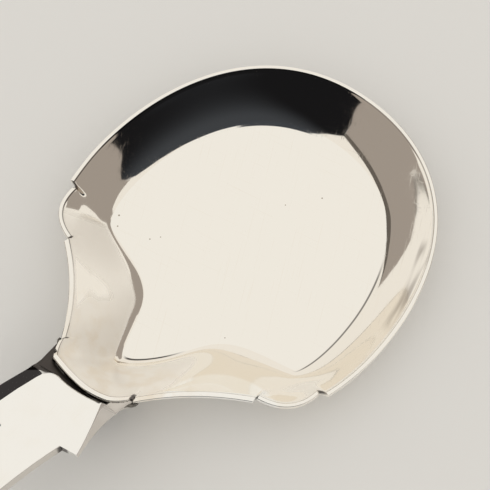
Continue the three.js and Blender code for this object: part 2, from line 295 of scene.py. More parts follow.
def half_stations(floor, other_floor, floor_end, ease, base, base_nick):
    """Round one side of the bowl, from the tip: edge, crease, rim width, depth of nick and easing."""
    edge = main_edge()
    along = np.gradient(edge, axis=0)
    along[0] = (0, 1)
    along /= np.hypot(*along.T)[:, None]
    wall_run = lerp(WALL_RUN, FLANK_WALL_RUN, np.linspace(0, 1, len(edge)) ** 2)
    crease = edge + wall_run[:, None] * np.column_stack([-along[:, 1], along[:, 0]])
    other_neck = (other_floor[-1][0], -other_floor[-1][1])
    knots = [crease[-1 - BEFORE_FLANK_STEPS], crease[-1], *floor, floor_end, other_neck]
    flank_knot, ear_knot, neck_knot, end_knot = 1, 2, 4, 5
    base_knot = lerp(neck_knot, end_knot, BASE_KNOT_SHARE)
    rows = [(edge, crease, MAIN_RIM, 0)]

    def run(points, rim, first, last):
        creases = spline(knots, np.linspace(first, last, len(points)))
        rows.append((points, creases, rim, 0))

    def nick(after, rim, depth, knot):
        before, creases = rows[-1][0][-1], rows[-1][1][-1]
        shares = np.array(NICK_SHARES)[:, None]
        rows.append((lerp(before, after, shares), lerp(creases, spline(knots, knot), shares), rim, depth))

    ear = bulged_run(EAR_START, EAR_END, EAR_BULGE, EAR_STEPS)
    shoulder = bulged_run(SHOULDER_START, SHOULDER_END, SHOULDER_BULGE, SHOULDER_STEPS)
    start, corner = base
    side = bulged_run(start, corner, BASE_SIDE_BULGE, BASE_SIDE_STEPS)
    end = bulged_run(corner, (corner[0], -corner[1]), corner[0] - BASE_END_X, 2 * BASE_END_STEPS)
    nick(ear[0], MAIN_RIM, EAR_NICK, flank_knot + NICK_KNOT_SHARE)
    run(ear, EAR_RIM, flank_knot + NICK_KNOT_SHARE, ear_knot - NICK_KNOT_SHARE)
    nick(shoulder[0], EAR_RIM, SHOULDER_NICK, ear_knot)
    run(shoulder, SHOULDER_RIM, ear_knot, neck_knot - NICK_KNOT_SHARE)
    shoulder_end = sum(len(row[0]) for row in rows)
    nick(side[0], SHOULDER_RIM, base_nick, neck_knot)
    run(side[:-1], BASE_RIM, neck_knot, lerp(neck_knot, base_knot, 1 - 1 / BASE_SIDE_STEPS))
    run(end[:BASE_END_STEPS + 1], BASE_RIM, base_knot, end_knot)

    main_end, shoulder_start = len(edge), shoulder_end - len(shoulder)
    edge, crease = (np.vstack([row[i] for row in rows]) for i in (0, 1))
    rim, cut = (np.concatenate([np.full(len(row[0]), float(row[i])) for row in rows]) for i in (2, 3))
    eases = np.interp(np.arange(len(edge)), [main_end, main_end + 1, shoulder_start, shoulder_end],
                      [WALL_EASE, ease[0], ease[0], ease[1]])
    return edge, crease, rim, cut, eases


def stations():
    """All the way round, counterclockwise from the tip."""
    left = half_stations(FLOOR_LEFT, FLOOR_RIGHT, FLOOR_END, LEFT_EASE, LEFT_BASE, LEFT_BASE_NICK)
    right = half_stations(FLOOR_RIGHT, FLOOR_LEFT, (FLOOR_END[0], -FLOOR_END[1]), RIGHT_EASE, RIGHT_BASE,
                          RIGHT_BASE_NICK)
    flip = np.array([1, -1])
    edge, crease = (np.vstack([left[i], right[i][-2:0:-1] * flip]) for i in (0, 1))
    rim, cut, ease = (np.concatenate([left[i], right[i][-2:0:-1]]) for i in (2, 3, 4))
    return edge, crease, rim, cut, ease


class Walls:
    """The bowl's curved walls at all stations, measured inward from the edge."""

    def __init__(self, edge, crease, rim, ease):
        run = crease - edge
        self.edge, self.rim, self.ease = edge, rim, ease
        self.length = np.hypot(*run.T)
        self.inward = run / self.length[:, None]
        self.rim_z = rim_height(edge[:, 0])
        self.steepness = (self.rim_z - FLOOR_Z) / eased(self.length - rim, ease)

    def inside_z(self, r):
        return FLOOR_Z + self.steepness * eased(self.length - r, self.ease)

    def underside_z(self, r):
        """The sheet keeps its thickness square to the wall."""
        up = self.length - r
        slope = self.steepness * up / np.hypot(up, self.ease)
        return self.inside_z(r) - SHEET * np.hypot(1, slope)

    def place(self, r, z):
        """Ring of points at distance r from the edge and height z."""
        plan = self.edge + self.inward * np.broadcast_to(r, self.rim.shape)[:, None]
        return np.column_stack([plan, np.broadcast_to(z, self.rim.shape)])

    def inside(self, r):
        return self.place(r, self.inside_z(r))

    def underside(self, r):
        return self.place(r, self.underside_z(r))


def bowl_rings():
    """Rings from under the floor, out to the rim and in to the floor again, and how dark each point is
    painted.
    """
    edge, crease, rim, nick, ease = stations()
    gaps = np.hypot(*(np.roll(edge, -1, axis=0) - edge).T)
    along = np.concatenate([[0], np.cumsum(gaps)])
    soft_ease = smoothed(ease[:, None], along, EASE_SPREAD)[:, 0]
    soft_rim = smoothed(rim[:, None], along, HAMMER_SPREAD)[:, 0]
    walls = Walls(edge, crease, rim, soft_ease)
    hammered = Walls(smoothed(edge, along, HAMMER_SPREAD), smoothed(crease, along, HAMMER_SPREAD),
                     soft_rim, soft_ease)
    by_nicks = share(edge[:, 0], *HAMMER_RUN)[:, None]

    def wall(side, outer, up):
        """Ring of the wall, as cut at the edge and as hammered farther down."""
        cut = side(walls, lerp(walls.length, outer, up))
        whole = side(hammered, lerp(hammered.length, outer, up))
        down = share(1 - up, 0, CUT_REACH)
        return lerp(cut, whole, down * down * (3 - 2 * down) * by_nicks)

    middle = np.array([FLOOR_MIDDLE_X, 0, 0])
    floor_middle = middle + [0, 0, FLOOR_Z]
    foot = wall(Walls.underside, nick, 0)
    rings = between(middle, foot, UNDERFLOOR_SHARES) + [foot]
    for up in np.linspace(0, 1, UNDERSIDE_STEPS + 1)[1:] ** WALL_CROWDING:
        rings.append(wall(Walls.underside, nick, up))

    lip = np.where(nick > 0, np.maximum(nick, rim) + NICK_LIP, rim)
    top = np.where(nick > 0, walls.inside_z(lip), walls.rim_z)
    rim_ring = len(rings)
    for start, profile in ((nick, OUTER_ARRIS), (lip, INNER_ARRIS)):
        rings += [walls.place(start + r * RIM_ARRIS, top - down * RIM_ARRIS) for r, down in profile]
    lip_ring = len(rings) - 1

    inside = []
    for up in np.linspace(1, 0, WALL_STEPS + 1) ** WALL_CROWDING:
        ring = wall(Walls.inside, lip + ARRIS_RUN * RIM_ARRIS, up)
        ring[:, 2] -= RIM_ARRIS * up ** ARRIS_FADE
        inside.append(ring)
    inside += between(inside[-1], floor_middle, np.linspace(0, 1, FLOOR_STEPS + 1)[1:-1] ** FLOOR_CROWDING)
    for ring in inside[2:]:
        ring[:, 2] += [WAVE_HEIGHT * noise.noise(Vector(p) / WAVE_LENGTH) for p in ring]
    rings += inside

    # Painted dark reflection line inside the rim, strongest at the left flank, and painted shadow over the
    # nicks
    dark = np.zeros((len(rings), len(edge)))
    left_flank = share(edge[:, 1], *RIM_LINE_Y) * share(edge[:, 0], *RIM_LINE_X)
    dark[lip_ring] = lerp(RIM_LINE, 1, left_flank)
    dark[rim_ring:lip_ring + 2, nick > 0] = 1
    return rings, middle, floor_middle, dark


def add_object(name, data):
    thing = bpy.data.objects.new(name, data)
    bpy.context.scene.collection.objects.link(thing)
    return thing


def skin(name, rings, first_tip, last_tip):
    """A closed smooth mesh over rings of points."""
    rings = [np.asarray(r) for r in rings]
    count = len(rings[0])
    points = np.vstack(rings + [[first_tip], [last_tip]])
    first, last, top = len(points) - 2, len(points) - 1, (len(rings) - 1) * count
    faces = []
    for i in range(count):
        j = (i + 1) % count
        faces.append((first, j, i))
        faces.append((last, top + i, top + j))
        faces.extend((k + i, k + j, k + count + j, k + count + i) for k in range(0, top, count))
    mesh = bpy.data.meshes.new(name)
    mesh.from_pydata(in_frame(points), [], faces)
    mesh.validate()
    mesh.shade_smooth()
    mesh.set_sharp_from_angle(angle=SHARP_ANGLE)
    return add_object(name, mesh)


def make_bowl():
    """The bowl, whose painted dark rim line and nick shadow are a value at each point for its material."""
    rings, under, floor, dark = bowl_rings()
    bowl = skin("bowl_sheet", rings, under, floor)
    painted_lines = np.append(dark.ravel(), [0, 0])
    bowl.data.attributes.new("painted_dark_lines", "FLOAT", "POINT").data.foreach_set("value", painted_lines)
    return bowl


def handle_plan():
    """Half of the handle in plan, from the heel's front to its end."""
    neck = np.array([LUG[0] - LUG_STEP, NECK_HALF_WIDTH])
    side, lug = np.array(SHOULDER_END), np.array(LUG)
    end_middle = HANDLE_END_X + END_ROUND
    waist_pull = 2 * np.array(WAIST) - (side + lug) / 2
    neck_pull = neck - np.array([NECK_REACH, NECK_TAPER * NECK_REACH])
    turn = np.linspace(0, math.pi / 2, HEEL_STEPS + 1)
    heel = np.column_stack([side[0] + (HEEL_FRONT_X - side[0]) * np.cos(turn), side[1] * np.sin(turn)])
    flare = bezier([side, waist_pull, lug], FLARE_STEPS)
    taper = bezier([neck, neck_pull, SLENDER_PULL, (end_middle, END_HALF_WIDTH)], TAPER_STEPS)
    end = np.column_stack([end_middle - END_ROUND * np.sin(turn), END_HALF_WIDTH * np.cos(turn)])
    return np.vstack([heel[1:], flare[1:], taper, end[1:-1]])


def handle_underside():
    """Side view of the handle's underside, as a line that runs from the heel to the end."""
    front, lug = np.array([HEEL_FRONT_X, HEEL_FRONT_Z]), np.array([LUG[0], LUG_UNDERSIDE_Z])
    lug_pull = lug + np.array([LUG_REACH, -LUG_SLOPE * LUG_REACH])
    arch_pull = lug + np.array([-ARCH_REACH, LUG_SLOPE * ARCH_REACH])
    rise = bezier([front, HEEL_PULL, lug_pull, lug], RISE_STEPS)
    arch = bezier([lug, arch_pull, ARCH_END_PULL, (HANDLE_END_X, 0)], ARCH_STEPS)
    return np.vstack([rise, arch[1:]])


def handle_section(x, half, line):
    """One ring of the handle: rounded lower sides, bevels beside the bowl, a nearly flat top."""
    forged = x >= LUG[0]
    bottom = np.interp(-x, -line[:, 0], line[:, 1])
    nose = share(x, NOSE_X - NOSE_LENGTH, NOSE_X)
    straight_top = LUG_UNDERSIDE_Z + EDGE_THICKNESS - LUG_SLOPE * (x - LUG[0])
    edge = straight_top if forged else bottom + EDGE_THICKNESS
    nose_drop = NOSE_DROP * (1 - math.sqrt(1 - nose ** 2))
    beside_bowl = share(x, LUG[0], NOSE_X) ** 2
    belly = min(lerp(LUG_BELLY, HEEL_BELLY, beside_bowl) if forged else SIDE_ARRIS, BELLY_LIMIT * half)
    turn = np.linspace(0, math.pi / 2, BELLY_STEPS + 1)

    def half_ring(draft, bevel, edge_drop):
        top = max(half - draft, half / 2)
        side_top = edge - edge_drop
        side_z = side_top - bevel if forged else bottom + SIDE_ARRIS
        lower = np.column_stack([half - belly + belly * np.sin(turn),
                                 bottom + (side_z - bottom) * (1 - np.cos(turn))])
        side = np.column_stack([lerp(half, top, SIDE_SHARES), lerp(side_z, side_top, SIDE_SHARES)])
        across = top * TOP_SHARES
        sunk = lerp(nose_drop, edge_drop, share(TOP_SHARES, *TOP_EDGE))
        crown = edge - sunk + CROWN_SLOPE / 2 * (top - across ** 2 / top)
        return np.vstack([lower, side, np.column_stack([across, crown])])

    right = half_ring(lerp(SIDE_DRAFT, NOSE_DRAFT, beside_bowl), lerp(LUG_BEVEL, NOSE_BEVEL, beside_bowl), 0)
    left_share = share(x, SLENDER_PULL[0], LUG[0])
    corner = LEFT_CORNER * (1 - math.sqrt(1 - share(x, NOSE_X - LEFT_CORNER, NOSE_X) ** 2))
    left_draft = lerp(SIDE_DRAFT, LEFT_DRAFT, left_share) + corner
    left = half_ring(left_draft, lerp(LUG_BEVEL, LEFT_BEVEL, left_share), nose_drop)
    plan = np.vstack([right * (-1, 1), left[-2::-1]])
    plan[len(right) - 1, 1] = (right[-1, 1] + left[-1, 1]) / 2
    return np.column_stack([np.full(len(plan), x), plan])


def hand_shaped(ring, half):
    """The ring with its handwork: a wider left side, its lug set back, a skewed and hollow nose."""
    x = ring[0, 0]
    ring = ring.copy()
    left = np.maximum(ring[:, 1], 0)
    back = LUG_STAGGER * share(x, NOSE_X, LUG[0]) * share(x, SLENDER_PULL[0], LUG[0])
    if x >= LUG[0]:
        wanted = np.interp(x - back, *np.transpose(LEFT_SIDE))
        ring[:, 1] += left * (wanted / half - 1) * share(x, HEEL_FRONT_X, SHOULDER_END[0])
    ring[:, 0] -= back * left / LUG[1]
    by_nose = share(x, LUG[0], NOSE_X) * share(x, HEEL_FRONT_X, LEFT_BASE[1][0])
    across = (ring[:, 1] - NOSE_HOLLOW_Y) / NOSE_HOLLOW_REACH
    hollow = NOSE_HOLLOW * np.maximum(0, 1 - across ** 2)
    ring[:, 0] -= (NOSE_SKEW * ring[:, 1] + hollow) * by_nose
    return ring


def under_bowl(tree, p):
    """Height just under the bowl's underside over a plan point, or just below its rim beside it."""
    start = Vector(in_frame([p[0], p[1], BELOW_ALL_Z]))
    hit = tree.ray_cast(start, Vector((0, 0, 1)))[0]
    drop = lerp(FLANK_DROP, GROOVE_DROP, share(p[1], *GROOVE_SIDE))
    return rim_height(p[0]) - drop if hit is None else hit.z / MM - HEEL_GAP


def make_handle(bowl):
    """The handle, whose heel is kept under the bowl's sheet."""
    line = handle_underside()
    rings = [hand_shaped(handle_section(x, half, line), half) for x, half in handle_plan()]
    tree = BVHTree.FromObject(bowl, bpy.context.evaluated_depsgraph_get())
    for ring in rings:
        if ring[:, 0].mean() > NOSE_X:
            for p in ring:
                p[2] = min(p[2], under_bowl(tree, p))
    front = np.array([HEEL_FRONT_X, 0, HEEL_FRONT_Z + HEEL_TIP_RISE])
    end = np.array([HANDLE_END_X, 0, EDGE_THICKNESS / 2])
    return skin("handle_bar", rings, front, end)


class Look:
    """A node material, put together from small steps."""

    def __init__(self, name, metallic=1):
        self.material = bpy.data.materials.new(name)
        self.material.use_nodes = True
        self.nodes, self.links = self.material.node_tree.nodes, self.material.node_tree.links
        self.shader = self.nodes["Principled BSDF"]
        self.shader.inputs["Metallic"].default_value = metallic
        self.measures = {}

    def add(self, kind, inputs, output=0, **settings):
        """A node whose inputs are sockets or plain values; gives back one of its outputs."""
        node = self.nodes.new(kind)
        for key, value in settings.items():
            setattr(node, key, value)
        for key, value in inputs.items():
            self.feed(node.inputs[key], value)
        return node.outputs[output]

    def feed(self, socket, value):
        if isinstance(value, bpy.types.NodeSocket):
            self.links.new(value, socket)
        else:
            socket.default_value = value

    def surface(self, **inputs):
        """The finished material, as a surface with these inputs."""
        for key, value in inputs.items():
            self.feed(self.shader.inputs[key.replace("_", " ")], value)
        return self.material

    def glow(self, colour):
        """The finished material, as plain emission."""
        emission = self.add("ShaderNodeEmission", {"Color": colour})
        self.links.new(emission, self.nodes["Material Output"].inputs["Surface"])
        self.nodes.remove(self.shader)
        return self.material

    def place(self):
        """Position in millimetres from the bowl's middle."""
        at = self.add("ShaderNodeTexCoord", {}, "Object")
        return self.add("ShaderNodeVectorMath", {0: at, 1: (1 / MM,) * 3, 2: tuple(-MIDDLE)},
                        operation="MULTIPLY_ADD")

    def measured_place(self):
        """The position, after naming what zones are measured along."""
        place = self.place()
        normal = self.axes(self.add("ShaderNodeNewGeometry", {}, "Normal"))
        x, y, z = self.axes(place)
        self.measures = {"x": x, "y": y, "z": z, "up": normal["Z"], "left": normal["Y"],
                         "away": self.dot(place, AWAY), "right": self.dot(place, RIGHT)}
        return place

    def axes(self, vector):
        node = self.nodes.new("ShaderNodeSeparateXYZ")
        self.links.new(vector, node.inputs[0])
        return node.outputs

    def dot(self, vector, way):
        return self.add("ShaderNodeVectorMath", {0: vector, 1: way}, "Value", operation="DOT_PRODUCT")

    def distance(self, place, point, weights):
        """Distance from a point, with weights for the axes that count."""
        gap = self.add("ShaderNodeVectorMath", {0: place, 1: point}, operation="SUBTRACT")
        gap = self.add("ShaderNodeVectorMath", {0: gap, 1: weights}, operation="MULTIPLY")
        return self.add("ShaderNodeVectorMath", {0: gap}, "Value", operation="LENGTH")

    def ramp(self, value, start, end, low=0.0, high=1.0):
        """A value that goes smoothly from low at start to high at end."""
        inputs = {"Value": value, "From Min": start, "From Max": end, "To Min": low, "To Max": high}
        return self.add("ShaderNodeMapRange", inputs, interpolation_type="SMOOTHSTEP")

    def zone(self, runs):
        """How far a place lies in all the runs, each a measure, where it begins and where it is full."""
        return self.product(*(self.ramp(self.measures[name], start, full) for name, start, full in runs))

    def math(self, operation, *values):
        return self.add("ShaderNodeMath", dict(enumerate(values)), operation=operation)

    def product(self, first, *others):
        for other in others:
            first = self.math("MULTIPLY", first, other)
        return first

    def mix(self, amount, a, b):
        """One colour with an amount of another mixed in."""
        a, b = ((*c, 1) if isinstance(c, tuple) else c for c in (a, b))
        return self.add("ShaderNodeMix", {"Factor": amount, "A": a, "B": b}, "Result", data_type="RGBA")

    def noise(self, place, waves, detail, turn):
        """Noise with so many waves a millimetre along each axis, turned about the upright one."""
        lengths = tuple(1 / w for w in waves)
        at = self.add("ShaderNodeMapping", {"Vector": place, "Rotation": (0, 0, turn), "Scale": lengths},
                      vector_type="TEXTURE")
        return self.add("ShaderNodeTexNoise", {"Vector": at, "Scale": 1.0, "Detail": detail})

    def grain(self, place, waves, detail, turn, start, full, most=1.0):
        """Where such noise rises from one level to another, up to a greatest strength."""
        return self.ramp(self.noise(place, waves, detail, turn), start, full, 0, most)


# Colours of the silver: bare on level faces, warmer on the walls, and with tarnish in the neck, and also
# colours of painted shade, painted dark reflections and a painted highlight
BARE = (0.972, 0.952, 0.908)
WARM = (0.94, 0.9, 0.835)
SATIN = (0.985, 0.945, 0.88)
TARNISH = (0.84, 0.72, 0.56)
# Near-black for painted shade and painted dark reflections
PAINTED_DARK = (0.09, 0.08, 0.075)
# Brightest silver; on the bowl also a painted bright reflection patch
BRIGHT = (0.99, 0.985, 0.965)
# Taupe-grey painted shade on the handle's right side and flank shelf
PAINTED_SIDE_SHADE = (0.69, 0.655, 0.615)
SOLDER_DARK = (0.12, 0.11, 0.1)
SOLDER_LIGHT = (0.3, 0.28, 0.25)
PIT = (0.42, 0.37, 0.31)
# Painted dark reflection streaks by the right rim
PAINTED_STREAK = (0.4, 0.365, 0.335)

# Zones of the finish, as runs along named measures, from where each begins to where it is full. The
# measures are the axes and the ways from the viewer and to their right, all in millimetres, the upward
# and leftward parts of the surface normal, and the handle's own, which measure_nose makes.
NEAR_SIDE = (("away", 5, 3),)
WALL = (("up", 0.952, 0.938),)
HANDLE_WALL = NEAR_SIDE + (("x", -4, -8), ("up", 0.985, 0.965))
LEFT_SHOULDER = (("x", -16.2, -12.7), ("y", 2, 4))
NECK = (("x", -16, -20),)
LOW = ("z", 2.4, 1.6)
# Painted dark reflection line along the floor's tongue into the neck
TONGUE_LINE = (("up", 0.99985, 0.9985), ("up", 0.96, 0.985), ("x", -13.5, -16.5), ("y", 1.6, 0.8), LOW)
# Painted dark reflection line along the lower right crease
FLANK_LINE = (("up", 0.962, 0.954), ("up", 0.935, 0.943), ("right", 6, 8), ("away", 0, -4), LOW)
# Upper right wall by the rim, where dark reflection streaks are painted
RIGHT_RIM = (("z", 3, 4), ("y", -15, -17), ("x", 2.5, 6), ("x", 16, 14), ("up", 0.95, 0.9))
# Painted shade on upright faces under the bowl's base, by the heel's front
UNDER_BASE = (("up", 0.05, -0.05), ("x", -21.5, -23), ("y", -3.8, -3.2))
PAST_NOSE = ("nose", NOSE_X - 0.12, NOSE_X - 0.02)
# Painted shade in the groove between the nose and the bowl's base
GROOVE = (PAST_NOSE, ("y", -3.9, -3.3))
FLANK_SHELF = (PAST_NOSE, ("y", -3.3, -3.9))
# Painted shade in the gap at the nose's left corner
CORNER_GAP = (("slant", -25.6, -25.4), ("y", 3.4, 3.9))
# Faces turned to the right, painted in shade
RIGHT_SIDE = (("left", -0.2, -0.45),)
# Painted dark reflection at the nose's left end
NOSE_LEFT_END = (("left", 0.12, 0.35), ("x", NOSE_X - 1.8, NOSE_X - 0.9))
# Painted shadow at the right lug's notch
NOTCH = (("notch", 0.8, 0.4), ("up", 0.8, 0.5))

# Places and strengths of the finish, in millimetres and shares
SATIN_SLOPE = 0.72  # near walls whose normal points up less than this are satin
SHOULDER_SLOPE = 0.105  # added to it at the left shoulder
SATIN_BLEND = 0.02
SATIN_METALLIC = 0.2
PAINTED_BRIGHT_MIDDLE = (-19.6, -14.6)  # painted bright reflection, a round patch on the lower wall
PAINTED_BRIGHT_RADIUS = 7.2
PAINTED_BRIGHT_BLEND = 0.3
# how dark the painted reflection line along the lower right crease gets
FLANK_LINE_STRENGTH = 0.8
# how dark the painted rim line and the painted nick shadow get
PAINTED_LINE_STRENGTH = 0.95
PITS = ((12.7, -2.4, 0.13), (8.9, 0.4, 0.1), (-6.1, 14.9, 0.16), (-7.3, 14.0, 0.13), (-5.9, 9.8, 0.12),
        (-4.8, 9.0, 0.1), (-9.4, -6.0, 0.1), (-17.2, 11.3, 0.1))  # x, y and radius
NOTCH_MIDDLE = (LUG[0] - LUG_STEP, -NECK_HALF_WIDTH - 0.2)
CORNER_SLANT = 0.8
LEFT_NOSE_RUN = (2.8, 4.2)  # y run over which the groove comes nearer at the nose's left corner
LEFT_NOSE_SHIFT = 0.5
RIGHT_SIDE_METALLIC = 0.3
BOWL_ROUGHNESS = (0.05, 0.28)  # polished and satin
HANDLE_ROUGHNESS = (0.08, 0.4)  # polished and dull
SOLDER_ROUGHNESS = (0.35, 0.5)

# Grains: waves a millimetre along each axis, detail and turn, the run of noise that shows, and how much
SCRATCHES = ((0.12, 9, 1), 3, 0.5, 0.62, 0.72)
CROSSING_SCRATCHES = ((7, 0.1, 1), 3, 0.25, 0.64, 0.74)
STAINS = ((0.35, 0.35, 0.35), 4, 0, 0.42, 0.7, 0.4)
# noise of the painted dark reflection streaks by the right rim
RIM_STREAKS = ((0.12, 0.8, 0.5), 1, 0.32, 0.42, 0.58, 0.75)
HANDLE_SCRATCHES = ((0.15, 8, 1), 3, 0.1, 0.62, 0.74)
HANDLE_CLOUDS = ((0.3, 0.3, 0.3), 3, 0, 0.45, 0.75, 0.4)
SOLDER_GRAIN = ((3, 3, 3), 4, 0)
SOLDER_COLOUR_RUN = (0.35, 0.7)
SOLDER_DULL_RUN = (0.3, 0.7)
SCRATCH_TARNISH = 0.12
SCRATCH_ROUGHNESS = 0.06
SCRATCH_BUMP = 0.04
SCRATCH_DEPTH = 0.02
HANDLE_SCRATCH_TARNISH = 0.08
HANDLE_SCRATCH_ROUGHNESS = 0.05


def bowl_silver():
    """Polished silver, satin on the near walls; scratches, stains, pits; painted dark lines and a painted
    highlight.
    """
    look = Look("bowl_silver")
    place = look.measured_place()
    near = look.zone(NEAR_SIDE)
    wall = look.math("MAXIMUM", look.zone(WALL), look.zone(HANDLE_WALL))
    satin_slope = look.math("MULTIPLY_ADD", look.zone(LEFT_SHOULDER), SHOULDER_SLOPE, SATIN_SLOPE)
    steep = look.math("SUBTRACT", satin_slope, look.measures["up"])
    satin = look.math("MULTIPLY", near, look.ramp(steep, -SATIN_BLEND, SATIN_BLEND))

    colour = look.mix(satin, look.mix(wall, BARE, WARM), SATIN)
    # Painted bright reflection: a round patch on the lower wall
    from_patch = look.distance(place, (*PAINTED_BRIGHT_MIDDLE, 0), (1, 1, 0))
    painted_bright_patch = look.ramp(from_patch, PAINTED_BRIGHT_RADIUS + PAINTED_BRIGHT_BLEND, PAINTED_BRIGHT_RADIUS - PAINTED_BRIGHT_BLEND)
    colour = look.mix(painted_bright_patch, colour, BRIGHT)
    stained = look.product(look.zone(NECK), look.grain(place, *STAINS), wall)
    colour = look.mix(stained, colour, TARNISH)
    # Painted dark reflection streaks on the upper right wall by the rim
    painted_streaks = look.product(look.zone(RIGHT_RIM), look.grain(place, *RIM_STREAKS))
    colour = look.mix(painted_streaks, colour, PAINTED_STREAK)

    # Painted dark reflection line along the lower right crease
    flank = look.product(look.zone(FLANK_LINE), FLANK_LINE_STRENGTH)
    # Painted dark reflection line inside the rim and painted shadow in the nicks, read from the bowl's
    # points
    painted_lines = look.add("ShaderNodeAttribute", {}, "Fac", attribute_name="painted_dark_lines")
    painted_lines = look.ramp(painted_lines, 0, 1, 0, PAINTED_LINE_STRENGTH)
    # Painted dark: reflection lines at the tongue and lower right crease, shade under the base, rim line and
    # nick shadow
    for mask in (look.zone(TONGUE_LINE), flank, look.zone(UNDER_BASE), painted_lines):
        colour = look.mix(mask, colour, PAINTED_DARK)
    for pit_x, pit_y, radius in PITS:
        gap = look.distance(place, (pit_x, pit_y, FLOOR_Z), (1, 1, 1))
        colour = look.mix(look.ramp(gap, radius, radius / 2), colour, PIT)

    lines = look.math("MAXIMUM", look.grain(place, *SCRATCHES), look.grain(place, *CROSSING_SCRATCHES))
    colour = look.mix(look.math("MULTIPLY", lines, SCRATCH_TARNISH), colour, TARNISH)
    smooth = look.ramp(satin, 0, 1, *BOWL_ROUGHNESS)
    roughness = look.math("MULTIPLY_ADD", lines, SCRATCH_ROUGHNESS, smooth)
    metallic = look.ramp(satin, 0, 1, 1, SATIN_METALLIC)
    bump = {"Height": lines, "Strength": SCRATCH_BUMP, "Distance": SCRATCH_DEPTH * MM}
    return look.surface(Base_Color=colour, Roughness=roughness, Metallic=metallic,
                        Normal=look.add("ShaderNodeBump", bump))


def measure_nose(look, place):
    """Names the handle's own measures: past its nose's end, across its left corner, from its notch."""
    x, y = look.measures["x"], look.measures["y"]
    skewed = look.math("MULTIPLY_ADD", y, NOSE_SKEW, x)
    left_shift = look.ramp(y, *LEFT_NOSE_RUN, 0, LEFT_NOSE_SHIFT)
    across = look.math("DIVIDE", look.math("SUBTRACT", y, NOSE_HOLLOW_Y), NOSE_HOLLOW_REACH)
    squared = look.math("MULTIPLY", across, across)
    hollow = look.math("MAXIMUM", look.math("MULTIPLY_ADD", squared, -NOSE_HOLLOW, NOSE_HOLLOW), 0)
    look.measures["nose"] = look.math("ADD", look.math("ADD", skewed, left_shift), hollow)
    look.measures["slant"] = look.math("MULTIPLY_ADD", y, CORNER_SLANT, x)
    look.measures["notch"] = look.distance(place, (*NOTCH_MIDDLE, 0), (1, 1, 0))


def handle_silver():
    """Bright silver with a duller right side in painted shade, and painted shade in the groove round the
    nose.
    """
    look = Look("handle_silver")
    place = look.measured_place()
    measure_nose(look, place)
    right_side = look.math("MAXIMUM", look.zone(RIGHT_SIDE), look.zone(FLANK_SHELF))
    groove = look.zone(GROOVE)

    colour = look.mix(look.grain(place, *HANDLE_CLOUDS), BRIGHT, BARE)
    # Painted shade on the right side and flank shelf, which also get a duller finish
    colour = look.mix(right_side, colour, PAINTED_SIDE_SHADE)
    # Painted shade in the groove and corner gap, painted dark reflection at the nose's left end, painted
    # shadow at the notch
    for mask in (groove, look.zone(CORNER_GAP), look.zone(NOSE_LEFT_END), look.zone(NOTCH)):
        colour = look.mix(mask, colour, PAINTED_DARK)

    lines = look.grain(place, *HANDLE_SCRATCHES)
    colour = look.mix(look.math("MULTIPLY", lines, HANDLE_SCRATCH_TARNISH), colour, TARNISH)
    smooth = look.ramp(look.math("MAXIMUM", right_side, groove), 0, 1, *HANDLE_ROUGHNESS)
    roughness = look.math("MULTIPLY_ADD", lines, HANDLE_SCRATCH_ROUGHNESS, smooth)
    metallic = look.ramp(right_side, 0, 1, 1, RIGHT_SIDE_METALLIC)
    return look.surface(Base_Color=colour, Roughness=roughness, Metallic=metallic)


def solder_silver():
    """Dull solder with a fine grain."""
    look = Look("solder")
    grain = look.noise(look.place(), *SOLDER_GRAIN)
    colour = look.mix(look.ramp(grain, *SOLDER_COLOUR_RUN), SOLDER_DARK, SOLDER_LIGHT)
    return look.surface(Base_Color=colour, Roughness=look.ramp(grain, *SOLDER_DULL_RUN, *SOLDER_ROUGHNESS))


def make_camera():
    data = bpy.data.cameras.new("camera")
    data.sensor_width = SENSOR
    data.lens = SENSOR * VIEW_FOCAL_PIXELS / IMAGE_PIXELS
    data.clip_start = NEAREST_SEEN * MM
    camera = add_object("camera", data)
    level = math.cos(VIEW_ELEVATION)
    back = Vector((-math.sin(VIEW_TURN) * level, -math.cos(VIEW_TURN) * level, math.sin(VIEW_ELEVATION)))
    camera.location = Vector(in_frame(VIEW_MIDDLE)) + back * VIEW_DISTANCE * MM
    camera.rotation_euler = (-back).to_track_quat("-Z", "Y").to_euler()
    bpy.context.scene.camera = camera


# Plain pale tent, with taupe and dark cards that the metal mirrors. Card corners are headings, in
# degrees clockwise from straight away from the camera, and heights above the table in degrees.
TENT = (0.88, 0.848, 0.789)
CARD_DISTANCE = 600
TAUPE = (0.36, 0.32, 0.285)
SHADE = (0.13, 0.115, 0.1)
DARK = (0.009, 0.009, 0.01)
DARK_TOP = (0.05, 0.055, 0.063)
DARK_TOP_WAY = (0.22, -0.245, 0.943)
DARK_TOP_BLEND = (0.7, 0.97)  # cosines from that way between which the dark card turns to its top's colour
OVER_THE_TOP = [(-117.5, 58), (-117, 64), (-112, 70.5), (-105, 74), (-92, 77.5), (-80, 79.5), (-40, 79.5),
                (-20, 78.5), (0, 79), (40, 82), (75, 84), (95, 84), (101, 75), (102, 54), (104, 43)]
RIGHT_END = [(104.5, 38), (109, 30), (114, 26), (117, 9)]
BEHIND_CAMERA = [(145, 9), (180, 9), (-150, 9), (-131, 9)]
LEFT_END = [(-122, 38), (-131, 28)]
LEFT_TOP = [(-39.2, 36), (-40, 47), (-44, 53), (-57, 54), (-70, 58), (-85, 58), (-117, 50)]
LEFT_CREASE = [(-38, 30), (-40.5, 34), (-46, 40), (-60, 43), (-71, 48), (-86, 50), (-118.7, 46)]
LEFT_FOOT = [(-131, 14), (-105, 14), (-90, 20)]
LEFT_RIM = [(-84.7, 24.2), (-80, 22.5), (-76.5, 21.2), (-73.4, 20), (-70, 18.8), (-66.7, 17.5),
            (-63.3, 16.3)]
LEFT_BOTTOM = [(-60.3, 15.4), (-57.6, 14.6), (-55, 13.6), (-52, 13.8), (-47, 16.5), (-42, 23)]
